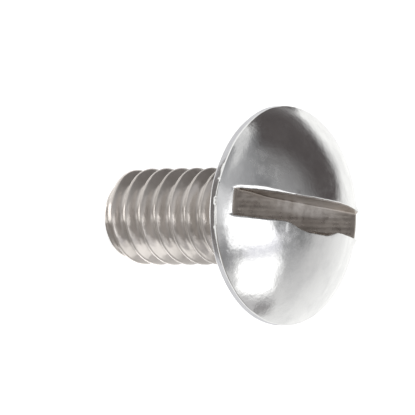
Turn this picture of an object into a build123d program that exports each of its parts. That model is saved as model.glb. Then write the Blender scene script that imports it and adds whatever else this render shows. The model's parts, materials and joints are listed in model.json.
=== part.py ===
from build123d import *
import math
import os

# Slotted truss head machine screw with a coarse inch thread, in millimetres.
# The screw's axis is Z, with the head up and the slot along Y. Heights are measured from
# the bearing plane under the head, and the finished screw is raised to stand on its tip.

# Head
HEAD_DIAMETER = 13.87
EDGE_HEIGHT = 0.54      # upright band round the rim, below the dome
DOME_RADIUS = 9.8
UNDER_ROUND = 0.08      # rolled corner between the rim and the bearing face
UPPER_ROUND = 0.12      # softened corner between the rim and the dome

# Driving slot
SLOT_WIDTH = 1.72
SLOT_DEPTH = 2.15       # from the top of the dome to the floor
SLOT_CORNER = 0.1       # small round along the foot of each wall

# Shank
SHANK_LENGTH = 12.52    # bearing face to the end of the tip
NECK_DIAMETER = 5.5     # plain rolling blank under the head
NECK_FILLET = 0.5
NECK_LENGTH = 0.84
TIP_DIAMETER = 4.96
TIP_CHAMFER_ANGLE = 45.0

# Thread: right hand, 60 degree form
PITCH = 1.27
MAJOR_DIAMETER = 6.22
MINOR_DIAMETER = 4.86
CREST_FLAT = 0.18
FLANK_ANGLE = 30.0      # each flank, from square to the axis
CREST_FADE = 0.95       # length over which the crests rise out of the neck
ROOT_FADE = 1.3         # length over which the grooves deepen below the neck
THREAD_TURN = 7.3       # degrees from X to the crest named by CREST_HEIGHT
CREST_HEIGHT = -10.0    # where that crest lies along the axis

head_r = HEAD_DIAMETER / 2
neck_r = NECK_DIAMETER / 2
major_r = MAJOR_DIAMETER / 2
minor_r = MINOR_DIAMETER / 2
tip_r = TIP_DIAMETER / 2
chamfer_length = (major_r - tip_r) / math.tan(math.radians(TIP_CHAMFER_ANGLE))

# Head: bearing face, rim and dome, turned about the axis
dome_centre = EDGE_HEIGHT - math.sqrt(DOME_RADIUS**2 - head_r**2)
dome_top = dome_centre + DOME_RADIUS
half_span = math.asin(head_r / DOME_RADIUS) / 2
dome_mid = (
    DOME_RADIUS * math.sin(half_span),
    dome_centre + DOME_RADIUS * math.cos(half_span),
)
with BuildSketch(Plane.XZ) as head_section:
    with BuildLine():
        Line((0, 0), (head_r, 0))
        Line((head_r, 0), (head_r, EDGE_HEIGHT))
        ThreePointArc((head_r, EDGE_HEIGHT), dome_mid, (0, dome_top))
        Line((0, dome_top), (0, 0))
    make_face()
    rim_foot = head_section.vertices().sort_by_distance((head_r, 0))[0]
    fillet(rim_foot, UNDER_ROUND)
    rim_top = head_section.vertices().sort_by_distance((head_r, EDGE_HEIGHT))[0]
    fillet(rim_top, UPPER_ROUND)
head = revolve(head_section.sketch, Axis.Z)

# Straight slot sawn across the dome, clear through both sides
slot_floor = dome_top - SLOT_DEPTH
with BuildSketch(Plane.XZ) as slot_section:
    with Locations((0, slot_floor)):
        Rectangle(SLOT_WIDTH, 2 * SLOT_DEPTH, align=(Align.CENTER, Align.MIN))
    floor_corners = slot_section.vertices().group_by(Axis.Y)[0]
    fillet(floor_corners, SLOT_CORNER)
slot = extrude(slot_section.sketch, amount=HEAD_DIAMETER, both=True)
head -= slot

# Shank blank: fillet under the head, neck, rise to the full thread, tip chamfer
crest_start = -(NECK_LENGTH + CREST_FADE)
with BuildSketch(Plane.XZ) as blank_section:
    with BuildLine():
        Polyline(
            (0, 0),
            (neck_r + NECK_FILLET, 0),
            (neck_r, -NECK_FILLET),
            (neck_r, -NECK_LENGTH),
            (major_r, crest_start),
            (major_r, chamfer_length - SHANK_LENGTH),
            (tip_r, -SHANK_LENGTH),
            (0, -SHANK_LENGTH),
            close=True,
        )
    make_face()
    with Locations((neck_r + NECK_FILLET, -NECK_FILLET)):
        Circle(NECK_FILLET, mode=Mode.SUBTRACT)
blank = revolve(blank_section.sketch, Axis.Z)

# Core left below the grooves. It rises through the neck, so that each groove runs out,
# and steps out above it, so that the fillet under the head stays whole.
overcut = PITCH / 8
mouth_r = major_r + overcut
below_tip = -SHANK_LENGTH - 3 * PITCH
root_end = -NECK_LENGTH - ROOT_FADE
step_height = -(NECK_FILLET + NECK_LENGTH) / 2
step_r = neck_r + (neck_r - minor_r) / ROOT_FADE * (step_height + NECK_LENGTH)
with BuildSketch(Plane.XZ) as core_section:
    with BuildLine():
        Polyline(
            (0, below_tip),
            (minor_r, below_tip),
            (minor_r, root_end),
            (step_r, step_height),
            (mouth_r + PITCH, step_height),
            (mouth_r + PITCH, 2 * PITCH),
            (0, 2 * PITCH),
            close=True,
        )
    make_face()
core = revolve(core_section.sketch, Axis.Z)

# One turn of a vee groove, swept along its helix and repeated up the shank at the pitch.
# The flat crest that it leaves is CREST_FLAT wide, half a pitch from the groove.
flank = math.tan(math.radians(FLANK_ANGLE))
half_mouth = (PITCH - CREST_FLAT) / 2
vee_r = major_r - half_mouth / flank
mouth = half_mouth + overcut * flank
turns_down = math.ceil((CREST_HEIGHT + SHANK_LENGTH) / PITCH) + 1
groove_foot = CREST_HEIGHT - turns_down * PITCH
turns = math.ceil((PITCH / 2 - NECK_LENGTH - groove_foot) / PITCH)
with BuildSketch(Plane.XZ) as groove_section:
    with BuildLine():
        Polyline(
            (vee_r, groove_foot),
            (mouth_r, groove_foot + mouth),
            (mouth_r, groove_foot - mouth),
            close=True,
        )
    make_face()
helix = Pos(0, 0, groove_foot) * Helix(PITCH, PITCH, major_r)
groove = sweep(groove_section.sketch, path=helix, is_frenet=True).rotate(Axis.Z, 180)
shank = blank
for turn in range(turns):
    shank -= Pos(0, 0, turn * PITCH) * groove - core
shank = shank.rotate(Axis.Z, THREAD_TURN)

screw = Pos(0, 0, SHANK_LENGTH) * (head + shank)

os.makedirs("parts", exist_ok=True)
export_step(screw, "parts/screw.step")
print("volume", round(screw.volume, 3), "solids", len(screw.solids()), "dome", round(dome_top, 3))
print(screw.bounding_box())
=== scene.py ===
import json
import math

import bmesh
import bpy
import numpy as np
from mathutils import Matrix, Vector


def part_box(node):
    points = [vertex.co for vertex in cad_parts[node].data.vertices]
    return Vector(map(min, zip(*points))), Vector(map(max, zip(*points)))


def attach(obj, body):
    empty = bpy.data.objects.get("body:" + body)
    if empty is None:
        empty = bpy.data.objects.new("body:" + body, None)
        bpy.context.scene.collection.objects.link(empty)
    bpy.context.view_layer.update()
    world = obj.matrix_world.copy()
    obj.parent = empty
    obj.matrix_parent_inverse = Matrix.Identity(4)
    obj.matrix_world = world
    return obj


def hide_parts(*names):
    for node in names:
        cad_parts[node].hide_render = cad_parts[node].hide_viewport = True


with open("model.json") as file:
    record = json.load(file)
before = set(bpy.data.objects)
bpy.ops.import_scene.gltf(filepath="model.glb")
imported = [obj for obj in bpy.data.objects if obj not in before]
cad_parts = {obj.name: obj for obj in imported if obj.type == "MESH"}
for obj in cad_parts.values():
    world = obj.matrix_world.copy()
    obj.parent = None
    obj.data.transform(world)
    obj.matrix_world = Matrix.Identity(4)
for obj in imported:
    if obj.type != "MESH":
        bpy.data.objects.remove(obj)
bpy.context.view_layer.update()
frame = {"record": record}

# All sizes below are millimetres. Heights are measured from the flat end of the tip,
# on which the screw stands, with its head up and its slot along Y.
MM = 0.001
mounts = {mount["name"]: mount for mount in frame["record"]["mounts"]}
low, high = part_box("screw")
HEAD_R = min(-low.x, high.x) / MM
BEARING = mounts["bearing_face"]["pos_m"][2] / MM
SLOT_FLOOR = mounts["driving_slot"]["pos_m"][2] / MM
THREAD_R = mounts["thread"]["dims"]["r_mm"]

# Head
DOME_R = 9.8
EDGE_HEIGHT = 0.54
UNDER_ROUND = 0.14
UPPER_ROUND = 0.16
SLOT_HALF = 0.86
SLOT_FOOT = 0.1         # round along the foot of each wall
EXIT_ROUND = 0.18       # softening where the floor meets the dome
LIP_NEAR = 0.26         # rolled edge along the slot, at its near end
LIP_FAR = 0.07          # the same at its far end
LIP_STRETCH = (-1.0, -5.0)  # where along Y it starts to grow and where it is full
LIP_PLUS_X = 0.55       # the +X edge's roll, as a share of the -X edge's

# Wear and crooked sawing of the slot. A stretch says where along Y a thing starts to
# show and where it is full.
LEAN = 0.17             # how far the -X wall leans out at its top
LEAN_LOSS = 0.4         # the share of it that is lost at the far end
LEAN_STRETCH = (3.0, 6.0)
SHIFT = 0.18            # how far the slot's near end strays to -X
SHIFT_STRETCH = (-0.9, -2.2)
FOOT_SHIFT = 0.126      # the same at the foot of the -X wall
FOOT_SHIFT_STRETCH = (-2.5, -5.0)
BRUISE = 0.34           # how far the +X wall is pushed back in the middle
BRUISE_NEAR = (-3.0, -1.6)
BRUISE_FAR = (2.2, 0.7)
WAVER_MINUS_X = 0.02    # how far each wall and the floor waver
WAVER_PLUS_X = 0.015
WAVER_FLOOR = 0.006
FLOOR_RATES = (4.0, 0.4)    # how fast the floor's waves pass along X and along Y
FLOOR_FADE = 0.7        # length over which they fade before the slot's ends
BURR = 0.2              # metal pushed out where the slot leaves the dome at the far end
BURR_STRETCH = (4.6, 5.7)
BURR_END = (0.03, -0.1)     # where it ends and where it is full, from the slot's exit
SNAG_WIDTH = 0.11
SNAGS = (               # small burrs on the slot's edges: side, place along it, height
    (-1, -2.2, 0.05),
    (1, -2.55, 0.06),
)

# Wear of the rim. A turn is the azimuth of the middle of a worn stretch, and a span is how
# far off it the wear is full and where it ends, in radians.
BEVEL = 0.02            # how far the dome rolls down at its edge, and over what width
BEVEL_WIDTH = 0.4
FLAT = 0.09             # how far the rim is worn in on its near left
FLAT_TURN = math.radians(-130)
FLAT_SPAN = (0.2, 0.6)
FLAT_WIDTH = 1.0        # how far in from the rim it is felt
RAISED = 0.07           # how far the rim's edge is turned up beside it
RAISED_TURN = math.radians(-110)
RAISED_SPAN = (0.1, 0.35)
NICK_DEPTH = 0.05
NICK_DEPTH_ADDED = 0.16     # where the rim is nicked most
NICKED_TURN = math.radians(-88)
NICKED_SPAN = (0.22, 0.4)
NICK_BELOW = 0.03       # how far the nicks' middle lies below the rim's upper corner
NICK_HALF = 0.05

# Shank
NECK_R = 2.75
NECK_FILLET = 0.5
NECK_END = BEARING - 0.84
CREST_START = BEARING - 1.79
ROOT_END = BEARING - 2.14
TIP_R = 2.48
TAPER_START = 2.5       # where the crests begin to fall towards the tip
TAPER_END = -0.4
TAPER = 0.15            # how far they fall between the two
TIP_ROUND = 0.08        # softening of the chamfer's upper edge
PITCH = 1.27
MINOR_R = 2.43
CREST_FLAT = 0.05
CREST_EXCESS = 0.07     # how far past the thread's radius two flanks would meet
CREST_ROUND = 0.12      # softening of the rolled crests and roots
ROOT_ROUND = 0.28
DENT_DEPTH = 0.012      # dents along the crests
DENT_HALF = 0.12
DENT_RATE = 1.7         # how fast they pass along the helix
FLANK = math.tan(math.radians(30))
CREST_TURN = math.radians(7.3)
CREST_HEIGHT = BEARING - 10.0

dome_centre = BEARING + EDGE_HEIGHT - math.sqrt(DOME_R**2 - HEAD_R**2)
rim_slope = math.asin(HEAD_R / DOME_R)
round_reach = UPPER_ROUND * math.tan((math.pi / 2 - rim_slope) / 2)
DOME_EDGE = HEAD_R - round_reach * math.cos(rim_slope)
exit_r = math.sqrt(DOME_R**2 - (SLOT_FLOOR - dome_centre)**2)


def smooth_step(x, start, end):
    """0 at start, 1 at end, smooth between. End may be lower than start."""
    t = np.clip((x - start) / (end - start), 0, 1)
    return t * t * (3 - 2 * t)


def smooth_min(a, b, k):
    h = np.clip(0.5 + 0.5 * (b - a) / k, 0, 1)
    return b + (a - b) * h - k * h * (1 - h)


def smooth_max(a, b, k):
    return -smooth_min(-a, -b, k)


def turn_share(x, y, middle, full, none):
    """1 near one azimuth, 0 far from it. Full and none are angles off that azimuth."""
    off = np.abs((np.arctan2(y, x) - middle + math.pi) % (2 * math.pi) - math.pi)
    return smooth_step(off, none, full)


def edge_drop(x, y):
    """How far the dome's edge lies below a true dome."""
    return BEVEL - RAISED * turn_share(x, y, RAISED_TURN, *RAISED_SPAN)


def dome(x, y):
    """Height of the dome, with its edge rolled down or turned up just inside the rim."""
    height = dome_centre + np.sqrt(np.maximum(DOME_R**2 - x * x - y * y, 0))
    share = np.clip((np.hypot(x, y) - HEAD_R + BEVEL_WIDTH) / BEVEL_WIDTH, 0, 1.2)
    return height - edge_drop(x, y) * share * share


def ripple(seed, *waves):
    """A smooth wavering line: a few sines with fixed phases, about 1 high at most."""
    random = np.random.default_rng(seed)
    phases = random.uniform(0, 2 * math.pi, len(waves))

    def value(t):
        return sum(np.sin(w * t + p) for w, p in zip(waves, phases)) / len(waves)

    return value


MERGE = 0.002           # points closer than this become one
SLIVER = 0.0003         # edges shorter than this are dissolved

# Kinds of surface, as the order of the materials on the mesh
POLISHED, SAWN, ROLLED = 0, 1, 2


class Grid:
    """Collects vertices and faces in millimetres, and the kind of each face."""

    def __init__(self):
        self.points = []
        self.faces = []
        self.kinds = []

    def add_points(self, x, y, z):
        start = len(self.points)
        self.points.extend(zip(np.ravel(x), np.ravel(y), np.ravel(z)))
        return start + np.arange(np.size(x)).reshape(np.shape(x))

    def add_quads(self, index, kind, closed=False):
        rows, columns = index.shape
        last = columns if closed else columns - 1
        for i in range(rows - 1):
            for j in range(last):
                k = (j + 1) % columns
                self.faces.append((index[i, j], index[i, k], index[i + 1, k], index[i + 1, j]))
                self.kinds.append(kind)


# Places along the slot, as shares of its length. They lie closer towards its ends, and
# closest where its floor breaks out through the dome.
BREAK = math.sqrt(exit_r**2 - SLOT_HALF**2) / math.sqrt(DOME_EDGE**2 - SLOT_HALF**2)
PLAIN_COLUMNS = 120
CLOSE_HALF = (0.005, 0.01, 0.015, 0.022, 0.03, 0.04)
CLOSE_STEPS = sorted((0, *CLOSE_HALF, *(-step for step in CLOSE_HALF)))


def slot_columns():
    plain = np.sin(np.linspace(-math.pi / 2, math.pi / 2, PLAIN_COLUMNS))
    clear = CLOSE_STEPS[-1] * 1.2
    plain = plain[np.abs(np.abs(plain) - BREAK) > clear]
    close = [side * BREAK + step for side in (-1, 1) for step in CLOSE_STEPS]
    return np.sort(np.concatenate([plain, close]))


def along(columns, x):
    """Y of each column on the row at x: the columns at the break lie on the slot's exit."""
    end = math.sqrt(max(DOME_EDGE**2 - x * x, 0))
    leave = math.sqrt(exit_r**2 - x * x) if abs(x) <= SLOT_HALF else BREAK * end
    size = np.abs(columns)
    inner = leave * size / BREAK
    outer = leave + (end - leave) * (size - BREAK) / (1 - BREAK)
    return np.sign(columns) * np.where(size <= BREAK, inner, outer)


# Rows of the mesh. Those of the head lie side by side across the slot.
LIP_STEPS = 6
WALL_STEPS = 8
FOOT_STEPS = 4
FLOOR_ROWS = 22
FLOOR_INSET = 0.02      # the share of its width between its first row and the wall's foot
RIM_HEIGHTS = (0.36, 0.31, 0.25, 0.19)     # above the bearing face
NEAR_ROWS = 7           # rows on the dome beside the lip
OUTER_ROWS = 34         # rows on the rest of each half of the dome
BESIDE = 1.6            # where the even rows of the dome begin
CLEAR = 0.06            # room left between a round's edge and the next row

minus_x_waver = ripple(3, 2.1, 4.7, 9.0, 14.0)
plus_x_waver = ripple(8, 1.7, 3.9, 7.7, 12.0)
floor_waver = ripple(5, 0.8, 2.3, 5.1)


def slot_edge(side, y):
    """X of a wall's top: it wavers and strays, one side leans out, the other is bruised."""
    if side < 0:
        lean = LEAN * (1 - LEAN_LOSS * smooth_step(y, *LEAN_STRETCH))
        return -SLOT_HALF - lean + WAVER_MINUS_X * minus_x_waver(y)
    bruise = BRUISE * smooth_step(y, *BRUISE_NEAR) * smooth_step(y, *BRUISE_FAR)
    stray = SHIFT * smooth_step(y, *SHIFT_STRETCH)
    return SLOT_HALF - stray + WAVER_PLUS_X * plus_x_waver(y) + bruise


def foot_edge(side, y):
    """X of a wall's foot."""
    if side < 0:
        return -SLOT_HALF - FOOT_SHIFT * smooth_step(y, *FOOT_SHIFT_STRETCH)
    return slot_edge(side, y)


def lip_size(side, y):
    size = LIP_FAR + (LIP_NEAR - LIP_FAR) * smooth_step(y, *LIP_STRETCH)
    return size if side < 0 else LIP_PLUS_X * size


def burr_height(side, y):
    height = BURR * smooth_step(y, *BURR_STRETCH) * smooth_step(y - exit_r, *BURR_END)
    for snag_side, middle, size in SNAGS:
        if snag_side == side:
            height = height + size * np.exp(-((y - middle) / SNAG_WIDTH)**2)
    return height


def floor_level(x, y):
    """Height of the slot's floor, which rolls over into the dome where it leaves it."""
    return smooth_min(SLOT_FLOOR, dome(x, y), EXIT_ROUND)


def slot_row(side, y, height_step, part):
    """One row of the slot's edge: its lip, wall or foot, as x and z along y."""
    edge = slot_edge(side, y)
    edge_below = foot_edge(side, y)
    lip = lip_size(side, y)
    burr = burr_height(side, y)
    rise = dome(edge, y) + burr - floor_level(edge, y)
    drop = lip * (1 - np.exp(-rise / lip))
    foot = np.minimum(SLOT_FOOT, 0.5 * (rise - drop))
    turn = height_step * math.pi / 2
    if part == "lip":
        x = edge + side * lip * (1 - math.sin(turn))
        return x, dome(x, y) + burr - drop * (1 - math.cos(turn))
    if part == "foot":
        x = edge_below - side * foot * (1 - math.cos(turn))
        return x, floor_level(x, y) + foot * (1 - math.sin(turn))
    wall_top = dome(edge, y) + burr - drop
    wall_foot = floor_level(edge_below, y) + foot
    x = edge + (edge_below - edge) * height_step
    return x, wall_top + (wall_foot - wall_top) * height_step


def half_rows():
    """The rows of one half of the head's top, from its outside in to the slot's floor."""
    turns = np.linspace(0, math.acos(BESIDE / DOME_EDGE), OUTER_ROWS + 1)[1:]
    outer = [DOME_EDGE * math.cos(turn) for turn in turns]
    reach = SLOT_HALF + LEAN + LIP_NEAR + CLEAR
    beside = np.linspace(outer[-1], reach, NEAR_ROWS + 1)[1:]
    rows = [("dome", x) for x in [*outer, *beside]]
    rows += [("lip", step) for step in np.linspace(0, 1, LIP_STEPS + 1)]
    rows += [("wall", step) for step in np.linspace(0, 1, WALL_STEPS + 1)[1:]]
    rows += [("foot", step) for step in np.linspace(0, 1, FOOT_STEPS + 1)[1:]]
    return rows


def head_top(grid):
    """The dome and the slot, as rows along the slot from -X to +X."""
    columns = slot_columns()
    x_rows, y_rows, z_rows, kinds = [], [], [], []

    def add(x, y, z, kind):
        x_rows.append(x + 0 * y)
        y_rows.append(y)
        z_rows.append(z + 0 * y)
        kinds.append(kind)

    def add_half(side, rows):
        for part, value in rows:
            if part == "dome":
                x = side * value
                y = along(columns, x)
                add(x, y, dome(x, y), POLISHED)
                continue
            y = along(columns, side * SLOT_HALF)
            x, z = slot_row(side, y, value, part)
            add(x, y, z, POLISHED if part == "lip" else SAWN)

    add_half(-1, half_rows())
    for share in np.linspace(FLOOR_INSET, 1 - FLOOR_INSET, FLOOR_ROWS):
        y = along(columns, SLOT_HALF * (2 * share - 1))
        left = foot_edge(-1, y) + SLOT_FOOT
        right = foot_edge(1, y) - SLOT_FOOT
        x = left + (right - left) * share
        inside = smooth_step(np.abs(y), exit_r, exit_r - FLOOR_FADE)
        waves = WAVER_FLOOR * floor_waver(FLOOR_RATES[0] * x + FLOOR_RATES[1] * y) * inside
        add(x, y, floor_level(x, y) + waves, SAWN)
    add_half(1, reversed(half_rows()))

    index = grid.add_points(x_rows, y_rows, z_rows)
    first, last = np.searchsorted(columns, [-BREAK - 0.001, BREAK + 0.001]) - [0, 1]
    for row in range(len(index) - 1):
        pair = index[row:row + 2][::-1]
        between = SAWN if kinds[row] == kinds[row + 1] == SAWN else POLISHED
        grid.add_quads(pair[:, :first + 1], POLISHED)
        grid.add_quads(pair[:, first:last + 1], between)
        grid.add_quads(pair[:, last:], POLISHED)
    return index


def head_side(grid, top, poles):
    """Upper round, rim, under round and bearing face, below the dome's outer ring."""
    points = np.array(grid.points)
    ring = sorted({index for row in top for index in (row[0], row[-1])} | set(poles),
                  key=lambda index: math.atan2(points[index][1], points[index][0]))
    first = [ring[0]]
    for index in ring[1:]:
        if np.linalg.norm(points[index] - points[first[-1]]) > MERGE:
            first.append(index)
    first = np.array(first)
    angles = np.arctan2(points[first, 1], points[first, 0])
    nick = ripple(11, 23, 37, 61, 97, 140)
    profile = []
    for turn in np.linspace(rim_slope, math.pi / 2, 7)[1:]:
        r = HEAD_R - UPPER_ROUND * (1 - math.sin(turn))
        z = BEARING + EDGE_HEIGHT - round_reach + UPPER_ROUND * math.cos(turn)
        profile.append((r, z))
    profile += [(HEAD_R, BEARING + z) for z in RIM_HEIGHTS]
    for turn in np.linspace(0, math.pi / 2, 8):
        r = HEAD_R - UNDER_ROUND * (1 - math.cos(turn))
        z = BEARING + UNDER_ROUND * (1 - math.sin(turn))
        profile.append((r, z))
    profile.append((HEAD_R - UNDER_ROUND - CLEAR, BEARING))
    r = np.array([p[0] for p in profile])[:, None]
    z = np.array([p[1] for p in profile])[:, None] + 0 * angles
    nicked = turn_share(np.cos(angles), np.sin(angles), NICKED_TURN, *NICKED_SPAN)
    dent = np.maximum(nick(angles), 0)**2 * (NICK_DEPTH + NICK_DEPTH_ADDED * nicked)
    near_edge = np.exp(-((z - (BEARING + EDGE_HEIGHT - NICK_BELOW)) / NICK_HALF)**2)
    r = r - dent * near_edge
    upper = smooth_step(z, BEARING + RIM_HEIGHTS[0], BEARING + EDGE_HEIGHT - round_reach)
    z = z - upper * edge_drop(np.cos(angles), np.sin(angles))
    index = grid.add_points(r * np.cos(angles), r * np.sin(angles), z)
    index = np.vstack([first, index])
    grid.add_quads(index[::-1], POLISHED, closed=True)
    return index[-1], angles


def flatten_rim(grid):
    """Moves the head's points in near the rim, where it is worn."""
    x, y, z = np.array(grid.points).T
    r = np.hypot(x, y)
    inwards = FLAT * turn_share(x, y, FLAT_TURN, *FLAT_SPAN)
    inwards = inwards * smooth_step(r, HEAD_R - FLAT_WIDTH, HEAD_R)
    share = 1 - inwards / np.maximum(r, 1)
    grid.points = list(zip(x * share, y * share, z))


def pole_fans(grid, top):
    """Closes the dome between its outermost rows and the rim's two side points."""
    poles = []
    for row, side in ((0, -1), (len(top) - 1, 1)):
        pole = grid.add_points([side * DOME_EDGE], [0.0], [dome(DOME_EDGE, 0.0)])[0]
        line = top[row]
        for a, b in zip(line[:-1], line[1:]):
            grid.faces.append((pole, b, a) if side < 0 else (pole, a, b))
            grid.kinds.append(POLISHED)
        poles.append(pole)
    return poles


TURN_STEPS = 176
# Places across one pitch, from the crest, as shares of the pitch
ACROSS = (
    0.0, 0.03, 0.06, 0.085, 0.115, 0.16, 0.21, 0.26, 0.31, 0.35, 0.385, 0.42, 0.46,
    0.5, 0.54, 0.58, 0.615, 0.65, 0.69, 0.74, 0.79, 0.84, 0.885, 0.915, 0.94, 0.97,
)
crest_waver = ripple(21, 3, 7, 11, 17)


def blank_radius(z):
    rise = NECK_R + (THREAD_R - NECK_R) * (NECK_END - z) / (NECK_END - CREST_START)
    taper = THREAD_R - TAPER * smooth_step(z, TAPER_START, TAPER_END)
    tip = np.minimum(TIP_R + z, taper)
    return smooth_min(np.clip(rise, NECK_R, THREAD_R), tip, TIP_ROUND)


def core_radius(z):
    slope = (NECK_R - MINOR_R) / (NECK_END - ROOT_END)
    return np.maximum(MINOR_R, MINOR_R + slope * (z - ROOT_END))


def thread_radius(z, off_crest):
    """Radius at height z, off_crest away from the nearest crest along the axis."""
    off = np.sqrt(off_crest**2 + CREST_FLAT**2) - CREST_FLAT
    vee = THREAD_R + CREST_EXCESS - off / FLANK
    cut = smooth_max(vee, core_radius(z), ROOT_ROUND)
    # The eighth makes up for what the softening takes off a crest
    return smooth_min(blank_radius(z) + CREST_ROUND / 8, cut, CREST_ROUND)


def shank_radius(angles, z):
    """Radius of the threaded shank at each angle and height, with its dented crests."""
    crest = CREST_HEIGHT + PITCH * (angles - CREST_TURN) / (2 * math.pi)
    turn = np.floor((z - crest) / PITCH + 0.5)
    off_crest = z - crest - PITCH * turn
    dents = np.maximum(crest_waver(DENT_RATE * (angles + 2 * math.pi * turn)), 0)
    dents = dents * np.exp(-(off_crest / DENT_HALF)**2)
    return thread_radius(z, off_crest) - DENT_DEPTH * dents


def shank(grid):
    angles = np.linspace(-math.pi, math.pi, TURN_STEPS, endpoint=False)
    lowest = math.floor(-CREST_HEIGHT / PITCH) - 1
    highest = math.ceil((BEARING - CREST_HEIGHT) / PITCH) + 1
    steps = [k + share for k in range(lowest, highest) for share in ACROSS]
    steps = np.array(steps)[:, None]
    crest = CREST_HEIGHT + PITCH * (angles - CREST_TURN) / (2 * math.pi)
    z = np.clip(crest + PITCH * steps, 0, BEARING - NECK_FILLET)
    r = shank_radius(angles, z)
    index = grid.add_points(r * np.cos(angles), r * np.sin(angles), z)
    grid.add_quads(index, ROLLED)
    # The helix joins itself one pitch up where the turn closes
    seam = len(ACROSS)
    for i in range(len(steps) - 1 - seam):
        a = index[i + seam, 0]
        b = index[i + seam + 1, 0]
        grid.faces.append((index[i, -1], a, b, index[i + 1, -1]))
        grid.kinds.append(ROLLED)
    return angles


def neck(grid, angles):
    r, z = [], []
    for turn in np.linspace(0, math.pi / 2, 9):
        r.append(NECK_R + NECK_FILLET * (1 - math.cos(turn)))
        z.append(BEARING - NECK_FILLET * (1 - math.sin(turn)))
    z = np.array(z)[:, None] + 0 * angles
    r = np.array(r)[:, None] - NECK_R + shank_radius(angles, z[0])
    index = grid.add_points(r * np.cos(angles), r * np.sin(angles), z)
    grid.add_quads(index, ROLLED, closed=True)
    return index[-1]


def annulus(grid, inner, inner_angles, outer, outer_angles, kind):
    """Joins two rings of different spacing on one plane, going round by angle."""
    i, j = 0, 0
    n, m = len(inner), len(outer)
    while i < n or j < m:
        a = inner_angles[i] if i < n else math.inf
        b = outer_angles[j] if j < m else math.inf
        if a <= b:
            grid.faces.append((inner[i % n], inner[(i + 1) % n], outer[j % m]))
            i += 1
        else:
            grid.faces.append((inner[i % n], outer[(j + 1) % m], outer[j % m]))
            j += 1
        grid.kinds.append(kind)


TIP_RINGS = (1.0, 0.97, 0.9, 0.75, 0.5, 0.25)


def tip_face(grid, angles):
    """The flat end, as rings that shrink to its middle."""
    edge = shank_radius(angles, 0 * angles)
    r = edge * np.array(TIP_RINGS)[:, None]
    index = grid.add_points(r * np.cos(angles), r * np.sin(angles), 0 * r)
    grid.add_quads(index[::-1], ROLLED, closed=True)
    middle = grid.add_points([0.0], [0.0], [0.0])[0]
    ring = index[-1]
    for k in range(len(ring)):
        grid.faces.append((ring[(k + 1) % len(ring)], ring[k], middle))
        grid.kinds.append(ROLLED)


def make_mesh(name, grid, materials):
    mesh = bpy.data.meshes.new(name)
    points = [(x * MM, y * MM, z * MM) for x, y, z in grid.points]
    mesh.from_pydata(points, [], [tuple(int(i) for i in face) for face in grid.faces])
    for material in materials:
        mesh.materials.append(material)
    mesh.polygons.foreach_set("material_index", grid.kinds)
    mesh.polygons.foreach_set("use_smooth", [True] * len(mesh.polygons))
    obj = bpy.data.objects.new(name, mesh)
    bpy.context.scene.collection.objects.link(obj)
    return obj


def clean(obj):
    """Merges the points that coincide and drops the faces that have no area."""
    work = bmesh.new()
    work.from_mesh(obj.data)
    bmesh.ops.remove_doubles(work, verts=work.verts, dist=MERGE * MM)
    bmesh.ops.dissolve_degenerate(work, dist=SLIVER * MM, edges=work.edges)
    loose = [v for v in work.verts if not v.link_faces]
    bmesh.ops.delete(work, geom=loose, context="VERTS")
    bmesh.ops.recalc_face_normals(work, faces=work.faces)
    work.to_mesh(obj.data)
    work.free()
    weighted = obj.modifiers.new("even_normals", "WEIGHTED_NORMAL")
    weighted.mode = "FACE_AREA_WITH_ANGLE"
    weighted.weight = 40


# Node helpers
def link(tree, source, target):
    tree.links.new(source, target)


def math_node(tree, operation, a, b=None):
    node = tree.nodes.new("ShaderNodeMath")
    node.operation = operation
    for socket, value in zip(node.inputs, (a, b)):
        if value is None:
            continue
        if isinstance(value, (int, float)):
            socket.default_value = value
        else:
            link(tree, value, socket)
    return node.outputs[0]


def ramp_between(tree, value, start, end):
    """0 at start, 1 at end, smooth between. End may be lower than start."""
    node = tree.nodes.new("ShaderNodeMapRange")
    node.interpolation_type = "SMOOTHSTEP"
    node.inputs["From Min"].default_value = min(start, end)
    node.inputs["From Max"].default_value = max(start, end)
    if end < start:
        node.inputs["To Min"].default_value = 1
        node.inputs["To Max"].default_value = 0
    link(tree, value, node.inputs["Value"])
    return node.outputs["Result"]


def dot_with(tree, vector, direction):
    node = tree.nodes.new("ShaderNodeVectorMath")
    node.operation = "DOT_PRODUCT"
    link(tree, vector, node.inputs[0])
    node.inputs[1].default_value = direction
    return node.outputs["Value"]


def within(tree, cosine, outer, inner):
    """1 where the cosine is of less than the inner angle, 0 past the outer, in degrees."""
    edges = [math.cos(math.radians(angle)) for angle in (outer, inner)]
    return ramp_between(tree, cosine, *edges)


def noise(tree, vector, scale, detail=3.0, roughness=0.5):
    node = tree.nodes.new("ShaderNodeTexNoise")
    node.inputs["Scale"].default_value = scale
    node.inputs["Detail"].default_value = detail
    node.inputs["Roughness"].default_value = roughness
    link(tree, vector, node.inputs["Vector"])
    return node.outputs["Fac"]


def mix_colours(tree, factor, a, b):
    """A where the factor is 0, b where it is 1. Each is a socket or three numbers."""
    node = tree.nodes.new("ShaderNodeMix")
    node.data_type = "RGBA"
    link(tree, factor, node.inputs[0])
    for socket, value in ((node.inputs[6], a), (node.inputs[7], b)):
        if isinstance(value, tuple):
            socket.default_value = (*value, 1)
        else:
            link(tree, value, socket)
    return node.outputs[2]


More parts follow.
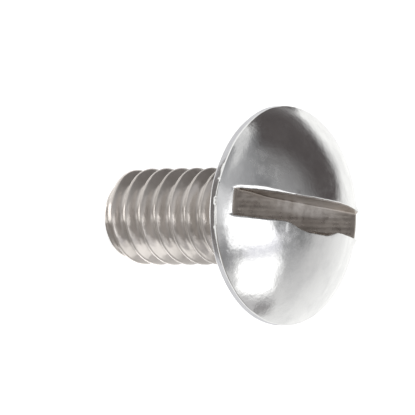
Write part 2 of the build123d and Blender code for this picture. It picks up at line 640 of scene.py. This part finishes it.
# Patterns of the steel: scale per metre, detail and roughness of the noise, and the values
# of it between which the pattern shows
SPECKS = (800, 5.0, 0.6)
SPECKS_SHOW = (0.25, 0.7)
CLOUDS = (420, 5.0, 0.6)
CLOUDS_SHOW = (0.4, 0.66)
HAZE = (1600, 4.0, 0.6)
HAZE_SHOW = (0.35, 0.7)
EVEN = (1, 1, 1)
ALONG_SLOT = (1, 0.4, 1)
SCUFF_EDGE = (1.2, 0.3)     # where a scuff ends and where it is full, in half sizes
SCUFFED_ROUGHNESS = 0.35    # what a scuff adds
SCUFFED_HEAD = (0.9, 0.9, 0.9)
SCUFFED_SLOT = (0.95, 0.92, 0.9)


def scuff_mask(tree, place, scuffs):
    """Speckled patches. Each is a middle x, y and half sizes x, y in mm, and a strength."""
    split = tree.nodes.new("ShaderNodeSeparateXYZ")
    link(tree, place, split.inputs[0])
    total = None
    for x, y, half_x, half_y, strength in scuffs:
        squares = []
        for socket, middle, half in ((split.outputs[0], x, half_x), (split.outputs[1], y, half_y)):
            off = math_node(tree, "ADD", socket, -middle * MM)
            off = math_node(tree, "DIVIDE", off, half * MM)
            squares.append(math_node(tree, "MULTIPLY", off, off))
        off = math_node(tree, "SQRT", math_node(tree, "ADD", *squares))
        patch = math_node(tree, "MULTIPLY", ramp_between(tree, off, *SCUFF_EDGE), strength)
        total = patch if total is None else math_node(tree, "MAXIMUM", total, patch)
    specks = ramp_between(tree, noise(tree, place, *SPECKS), *SPECKS_SHOW)
    return math_node(tree, "MULTIPLY", total, specks)


def steel(name, light, dark, smooth, rough, bumps, metallic=1.0, scuffs=(), scuffed=None):
    """Stainless steel: two tones and two roughnesses in cloudy patches, and fine bumps.
    Each bump is a scale per metre, a depth in metres and a stretch of its pattern."""
    material = bpy.data.materials.new(name)
    material.use_nodes = True
    tree = material.node_tree
    shader = tree.nodes["Principled BSDF"]
    shader.inputs["Metallic"].default_value = metallic
    place = tree.nodes.new("ShaderNodeTexCoord").outputs["Object"]
    patch = ramp_between(tree, noise(tree, place, *CLOUDS), *CLOUDS_SHOW)
    colour = mix_colours(tree, patch, light, dark)
    roughness = tree.nodes.new("ShaderNodeMapRange")
    roughness.inputs["To Min"].default_value = smooth
    roughness.inputs["To Max"].default_value = rough
    fine = ramp_between(tree, noise(tree, place, *HAZE), *HAZE_SHOW)
    link(tree, fine, roughness.inputs["Value"])
    haze = roughness.outputs["Result"]
    if scuffs:
        mask = scuff_mask(tree, place, scuffs)
        colour = mix_colours(tree, mask, colour, scuffed)
        added = math_node(tree, "MULTIPLY", mask, SCUFFED_ROUGHNESS)
        haze = math_node(tree, "ADD", haze, added)
    link(tree, colour, shader.inputs["Base Color"])
    link(tree, haze, shader.inputs["Roughness"])
    normal = None
    for scale, depth, pull in bumps:
        mapping = tree.nodes.new("ShaderNodeMapping")
        mapping.inputs["Scale"].default_value = pull
        link(tree, place, mapping.inputs["Vector"])
        bump = tree.nodes.new("ShaderNodeBump")
        bump.inputs["Distance"].default_value = depth
        link(tree, noise(tree, mapping.outputs["Vector"], scale), bump.inputs["Height"])
        if normal is not None:
            link(tree, normal, bump.inputs["Normal"])
        normal = bump.outputs["Normal"]
    link(tree, normal, shader.inputs["Normal"])
    return material


# Scuffs: middle x, y and half sizes x, y in mm, and strength
SCUFFS = (
    (-2.5, -4.1, 1.5, 2.2, 0.6),
    (1.5, -2.2, 0.8, 1.6, 0.6),
    (1.9, -5.0, 0.7, 1.5, 0.5),
    (-0.4, -6.25, 0.75, 0.16, 1.0),
    (0.0, 0.0, 8.0, 8.0, 0.16),
)
SLOT_SCUFFS = (
    (-0.6, 0.6, 0.7, 4.0, 0.75),
    (-0.6, -4.6, 0.3, 0.9, 0.3),
)


def make_screw():
    polished = steel(
        "polished_steel", (0.81, 0.81, 0.81), (0.72, 0.72, 0.725), 0.1, 0.18,
        [(230, 0.00003, EVEN), (1500, 0.00001, EVEN), (5000, 0.000004, EVEN)],
        scuffs=SCUFFS, scuffed=SCUFFED_HEAD,
    )
    sawn = steel(
        "sawn_steel", (0.54, 0.49, 0.445), (0.40, 0.355, 0.32), 0.26, 0.38,
        [(1500, 0.000012, ALONG_SLOT), (4000, 0.000007, EVEN)],
        scuffs=SLOT_SCUFFS, scuffed=SCUFFED_SLOT,
    )
    rolled = steel(
        "rolled_steel", (0.67, 0.63, 0.6), (0.57, 0.535, 0.505), 0.13, 0.24,
        [(900, 0.00002, EVEN), (2600, 0.00001, EVEN)],
        metallic=0.6,
    )
    grid = Grid()
    top = head_top(grid)
    poles = pole_fans(grid, top)
    under_ring, under_angles = head_side(grid, top, poles)
    flatten_rim(grid)
    angles = shank(grid)
    neck_ring = neck(grid, angles)
    annulus(grid, neck_ring, angles, under_ring, under_angles, POLISHED)
    tip_face(grid, angles)
    screw = make_mesh("screw_finished", grid, [polished, sawn, rolled])
    clean(screw)
    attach(screw, "root")
    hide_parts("screw")


# Surroundings, in metres as Blender has them. Mirror-like steel shows its surroundings, so
# the floor has one tone for the camera and others, of painted light and shade, for what the screw
# reflects.
FLOOR_HALF = 2.0
FLOOR_SEEN = (0.85, 0.85, 0.85)
FLOOR_MATT = (0.5, 0.5, 0.5)
FLOOR_FAR = (1.12, 1.12, 1.1)
NEAR_REACH = (0.03, 0.0255)     # where what the shank and rim see ends and where it is full

# What the shank reflects, painted light and shade: bright towards +X and grey towards -X, with
# painted highlights and painted shade in patches on that. A patch has its azimuth, the angles off
# it where it ends and where it is full, and its tone.
SHANK_PAINTED_LIGHT_PLUS_X = (1.4, 1.39, 1.37)
SHANK_PAINTED_SHADE_MINUS_X = (0.9, 0.88, 0.86)
SHANK_SIDES = (0.001, -0.004)
SHANK_PAINTED_PATCHES = (
    (-168, 50, 25, (1.2, 1.18, 1.15)),
    (14, 34, 20, (2.7, 2.67, 2.63)),
    (-91, 16, 9, (2.5, 2.47, 2.43)),
    (-53, 24, 16, (0.3, 0.28, 0.26)),
)
SHANK_REACH = (0.01, 0.014)

# Painted highlight that the tip reflects close to its foot
TIP_PAINTED_HIGHLIGHT = (-160, 60, 35, (1.6, 1.58, 1.56))
FOOT_REACH = (0.0048, 0.004)

# What the rim reflects: painted shade towards the viewer
RIM_PAINTED_REFLECTION = (0.78, 0.78, 0.8)
RIM_PAINTED_SHADE = (0.2, 0.185, 0.18)
RIM_SIDES = (-0.013, -0.019)

# Far off on the left behind, the floor's reflection is painted shade, as dark as the wall
BEHIND_PAINTED_SHADE = (153, 24, 18, (0.16, 0.15, 0.15))
BEHIND_REACH = (0.04, 0.08)


def painted_floor_reflection(tree, place):
    """The floor's tone as the steel shows it: painted light and shade, by place and by direction
    from the screw.
    """
    split = tree.nodes.new("ShaderNodeSeparateXYZ")
    link(tree, place, split.inputs[0])
    length = tree.nodes.new("ShaderNodeVectorMath")
    length.operation = "LENGTH"
    link(tree, place, length.inputs[0])
    reach = length.outputs["Value"]
    direction = tree.nodes.new("ShaderNodeVectorMath")
    direction.operation = "NORMALIZE"
    link(tree, place, direction.inputs[0])

    def towards(azimuth, outer, inner):
        turn = math.radians(azimuth)
        middle = (math.cos(turn), math.sin(turn), 0)
        cosine = dot_with(tree, direction.outputs["Vector"], middle)
        return within(tree, cosine, outer, inner)

    sides = ramp_between(tree, split.outputs[0], *SHANK_SIDES)
    # Painted light and shade in what the shank reflects
    painted_shank_tone = mix_colours(tree, sides, SHANK_PAINTED_LIGHT_PLUS_X, SHANK_PAINTED_SHADE_MINUS_X)
    for *angles, tone in SHANK_PAINTED_PATCHES:
        painted_shank_tone = mix_colours(tree, towards(*angles), painted_shank_tone, tone)
    # Painted highlight in what the tip reflects near its foot
    foot = ramp_between(tree, reach, *FOOT_REACH)
    foot = math_node(tree, "MULTIPLY", towards(*TIP_PAINTED_HIGHLIGHT[:3]), foot)
    painted_shank_tone = mix_colours(tree, foot, painted_shank_tone, TIP_PAINTED_HIGHLIGHT[3])
    # Painted shade in what the rim reflects, towards the viewer
    front = ramp_between(tree, split.outputs[1], *RIM_SIDES)
    painted_rim_tone = mix_colours(tree, front, RIM_PAINTED_REFLECTION, RIM_PAINTED_SHADE)
    near = mix_colours(tree, ramp_between(tree, reach, *SHANK_REACH), painted_shank_tone, painted_rim_tone)
    tone = mix_colours(tree, ramp_between(tree, reach, *NEAR_REACH), FLOOR_FAR, near)
    # Painted shade in the floor's reflection far off behind on the left
    behind = ramp_between(tree, reach, *BEHIND_REACH)
    behind = math_node(tree, "MULTIPLY", towards(*BEHIND_PAINTED_SHADE[:3]), behind)
    return mix_colours(tree, behind, tone, BEHIND_PAINTED_SHADE[3])


def floor_material():
    """A white floor that glows on its own for the camera, and with painted light and shade in
    reflections; it is matt besides, so that it keeps the screw's shadow."""
    material = bpy.data.materials.new("white_floor_painted_reflections")
    material.use_nodes = True
    tree = material.node_tree
    tree.nodes.clear()
    path = tree.nodes.new("ShaderNodeLightPath").outputs
    place = tree.nodes.new("ShaderNodeTexCoord").outputs["Object"]
    diffuse = tree.nodes.new("ShaderNodeBsdfDiffuse")
    matt = mix_colours(tree, path["Is Glossy Ray"], FLOOR_MATT, (0, 0, 0))
    link(tree, matt, diffuse.inputs["Color"])
    seen = math_node(tree, "MAXIMUM", path["Is Camera Ray"], path["Is Glossy Ray"])
    seen = math_node(tree, "MAXIMUM", seen, path["Is Transmission Ray"])
    glow = tree.nodes.new("ShaderNodeEmission")
    painted_reflection = painted_floor_reflection(tree, place)
    tone = mix_colours(tree, path["Is Glossy Ray"], FLOOR_SEEN, painted_reflection)
    link(tree, tone, glow.inputs["Color"])
    link(tree, seen, glow.inputs["Strength"])
    add = tree.nodes.new("ShaderNodeAddShader")
    link(tree, diffuse.outputs[0], add.inputs[0])
    link(tree, glow.outputs[0], add.inputs[1])
    out = tree.nodes.new("ShaderNodeOutputMaterial")
    link(tree, add.outputs[0], out.inputs["Surface"])
    return material


def make_floor():
    mesh = bpy.data.meshes.new("floor")
    h = FLOOR_HALF
    mesh.from_pydata([(-h, -h, 0), (h, -h, 0), (h, h, 0), (-h, h, 0)], [], [(0, 1, 2, 3)])
    floor = bpy.data.objects.new("floor", mesh)
    bpy.context.scene.collection.objects.link(floor)
    mesh.materials.append(floor_material())


# The studio, as seen from the screw. Directions lie on a flat map: the sky's top is its
# middle, the horizon is its unit circle, +X is right and +Y is up. A panel has its middle
# and half sizes on that map, how soft its border is, and its tone.
PANEL_TURN = 22.0       # degrees by which all of them are turned on the map
PANEL_FOOT = (0.03, 0.06)   # sine of the height where they end and where they are full
PANELS = (
    ((0.183, 0.01), (0.09, 0.125), 0.045, (0.9, 0.9, 0.95)),
    ((0.073, -0.113), (0.1325, 0.1625), 0.036, (1.7, 1.7, 1.7)),
    ((0.385, 0.073), (0.134, 0.154), 0.044, (1.7, 1.7, 1.68)),
)
# A spot is a round patch: azimuth, height, radius and softness in degrees, and its tone
SPOTS = (
    (28, 23, 6, 5, (0.32, 0.31, 0.31)),
    (80, 57, 6, 7, (0.24, 0.24, 0.24)),
    (-38, 42, 9, 8, (0.3, 0.3, 0.305)),
    (-95, 55, 10, 9, (0.8, 0.8, 0.81)),
    (-85, 10, 28, 10, (0.3, 0.28, 0.26)),
    (-50, 12, 22, 10, (0.3, 0.28, 0.26)),
    (-86, 28, 9, 5, (1.6, 1.58, 1.55)),
    (-27, 15, 14, 9, (0.33, 0.32, 0.31)),
    (14, 25, 5, 6, (0.6, 0.59, 0.59)),
    (4, 8, 14, 6, (0.35, 0.34, 0.34)),
)

# Tones of the studio's walls
PALE_LOW = (1.0, 1.0, 0.985)
PALE_HIGH = (0.66, 0.655, 0.65)
CEILING = (0.38, 0.38, 0.385)
SIDE_BACK = (0.22, 0.222, 0.225)
SIDE_FRONT = (0.46, 0.462, 0.47)
CORNER_LOW = (1.2, 1.2, 1.18)
CORNER_HIGH = (0.76, 0.76, 0.755)
DARK_FOOT = (0.17, 0.16, 0.16)
DARK_MIDDLE = (0.105, 0.094, 0.093)
DARK_TOP = (0.36, 0.36, 0.36)


class Nodes:
    """The node helpers on one tree, under short names."""

    def __init__(self, tree):
        self.tree = tree

    def times(self, a, b):
        return math_node(self.tree, "MULTIPLY", a, b)

    def plus(self, a, b):
        return math_node(self.tree, "ADD", a, b)

    def past(self, value, start):
        """How far a value is past start, or 0."""
        return math_node(self.tree, "MAXIMUM", self.plus(value, -start), 0)

    def ramp(self, value, start, end):
        return ramp_between(self.tree, value, start, end)

    def blend(self, factor, a, b):
        return mix_colours(self.tree, factor, a, b)


def studio_walls(n, x, y, z, map_x, map_y):
    """The tone of the walls in a direction x, y, z, each edge a ramp on the unit sphere."""
    minus_x = n.times(x, -1)
    # Pale walls, greyer towards the ceiling
    level = n.blend(n.ramp(z, 0.0, 0.75), PALE_LOW, PALE_HIGH)
    level = n.blend(n.ramp(z, 0.6, 0.9), level, CEILING)
    # Grey side towards -X, lighter towards the front
    side = n.blend(n.ramp(y, 0.12, -0.5), SIDE_BACK, SIDE_FRONT)
    level = n.blend(n.times(n.ramp(minus_x, -0.2, 0.1), n.ramp(y, 0.45, 0.2)), level, side)
    # Light corner low down between -X and the front
    corner = n.times(n.plus(map_x, map_y), -math.sqrt(0.5))
    corner_tone = n.blend(n.ramp(z, 0.2, 0.5), CORNER_LOW, CORNER_HIGH)
    level = n.blend(n.ramp(corner, 0.4, 0.48), level, corner_tone)
    # Dark wall behind on the left. Its foot is lower on the far left and higher behind.
    foot = n.plus(z, n.times(n.past(minus_x, 0.5), 0.6))
    foot = n.plus(foot, n.times(n.past(x, -0.34), -0.9))
    wall = n.times(n.ramp(minus_x, 0.0, 0.1), n.ramp(y, -0.06, 0.14))
    wall = n.times(wall, n.ramp(foot, -0.02, 0.26))
    tone = n.blend(n.ramp(z, 0.3, 0.0), DARK_MIDDLE, DARK_FOOT)
    tone = n.blend(n.ramp(z, 0.58, 0.96), tone, DARK_TOP)
    return n.blend(wall, level, tone)


def add_spots(n, level, direction):
    for azimuth, height, radius, soft, tone in SPOTS:
        turn, lift = math.radians(azimuth), math.radians(height)
        middle = (
            math.cos(turn) * math.cos(lift),
            math.sin(turn) * math.cos(lift),
            math.sin(lift),
        )
        cosine = dot_with(n.tree, direction, middle)
        level = n.blend(within(n.tree, cosine, radius + soft, radius - soft), level, tone)
    return level


def add_panels(n, level, z, map_x, map_y):
    """The bright panels, which end above the horizon."""
    turn = math.radians(PANEL_TURN)
    for middle, half, soft, tone in PANELS:
        off_x = n.plus(map_x, -middle[0])
        off_y = n.plus(map_y, -middle[1])
        offs = (
            n.plus(n.times(off_x, math.cos(turn)), n.times(off_y, math.sin(turn))),
            n.plus(n.times(off_x, -math.sin(turn)), n.times(off_y, math.cos(turn))),
        )
        mask = n.ramp(z, *PANEL_FOOT)
        for off, reach in zip(offs, half):
            off = math_node(n.tree, "ABSOLUTE", off)
            mask = n.times(mask, n.ramp(off, reach + soft, reach - soft))
        level = n.blend(mask, level, tone)
    return level


def make_world():
    """White for the camera, and the studio for everything else."""
    world = bpy.data.worlds.new("studio")
    bpy.context.scene.world = world
    world.use_nodes = True
    tree = world.node_tree
    tree.nodes.clear()
    n = Nodes(tree)
    direction = tree.nodes.new("ShaderNodeTexCoord").outputs["Generated"]
    split = tree.nodes.new("ShaderNodeSeparateXYZ")
    link(tree, direction, split.inputs[0])
    x, y, z = split.outputs
    # Straight down lies nowhere on the map, so the divisor stops short of 0
    fold = math_node(tree, "MAXIMUM", n.plus(z, 1), 0.05)
    map_x = math_node(tree, "DIVIDE", x, fold)
    map_y = math_node(tree, "DIVIDE", y, fold)
    level = studio_walls(n, x, y, z, map_x, map_y)
    level = add_spots(n, level, direction)
    level = add_panels(n, level, z, map_x, map_y)
    studio = tree.nodes.new("ShaderNodeBackground")
    link(tree, level, studio.inputs["Color"])
    white = tree.nodes.new("ShaderNodeBackground")
    white.inputs["Color"].default_value = (1, 1, 1, 1)
    path = tree.nodes.new("ShaderNodeLightPath")
    mix = tree.nodes.new("ShaderNodeMixShader")
    link(tree, path.outputs["Is Camera Ray"], mix.inputs["Fac"])
    link(tree, studio.outputs[0], mix.inputs[1])
    link(tree, white.outputs[0], mix.inputs[2])
    out = tree.nodes.new("ShaderNodeOutputWorld")
    link(tree, mix.outputs[0], out.inputs["Surface"])


# Camera: its direction from the screw, its roll, and where one point of the axis falls
CAMERA_AZIMUTH = -82.67
CAMERA_HEIGHT = 40.4
CAMERA_ROLL = 0.53
CAMERA_DISTANCE = 400.0
IMAGE_SIZE = 415
SCALE = 15.85           # pixels to a millimetre at the screw
AIM = 12.68             # height of the point on the axis that falls at AIM_AT
AIM_AT = (281.8, 215.6)
SENSOR = 36.0


def make_camera():
    azimuth = math.radians(CAMERA_AZIMUTH)
    height = math.radians(CAMERA_HEIGHT)
    roll = math.radians(CAMERA_ROLL)
    back = Vector((
        math.cos(height) * math.cos(azimuth),
        math.cos(height) * math.sin(azimuth),
        math.sin(height),
    ))
    axis = Vector((0, 0, 1))
    right = (axis - axis.dot(back) * back).normalized()
    over = back.cross(right)
    right, over = (
        math.cos(roll) * right - math.sin(roll) * over,
        math.sin(roll) * right + math.cos(roll) * over,
    )
    off_x = (AIM_AT[0] - IMAGE_SIZE / 2) / SCALE
    off_y = (AIM_AT[1] - IMAGE_SIZE / 2) / SCALE
    place = Vector((0, 0, AIM)) + CAMERA_DISTANCE * back - off_x * right + off_y * over
    data = bpy.data.cameras.new("camera")
    data.sensor_width = SENSOR
    data.lens = SCALE * CAMERA_DISTANCE / IMAGE_SIZE * SENSOR
    data.clip_start = 0.01
    data.clip_end = 20
    camera = bpy.data.objects.new("camera", data)
    turn = Matrix((right, over, back)).transposed().to_4x4()
    camera.matrix_world = Matrix.Translation(place * MM) @ turn
    bpy.context.scene.collection.objects.link(camera)
    bpy.context.scene.camera = camera


bpy.context.scene.view_settings.view_transform = "Standard"
make_screw()
make_floor()
make_world()
make_camera()
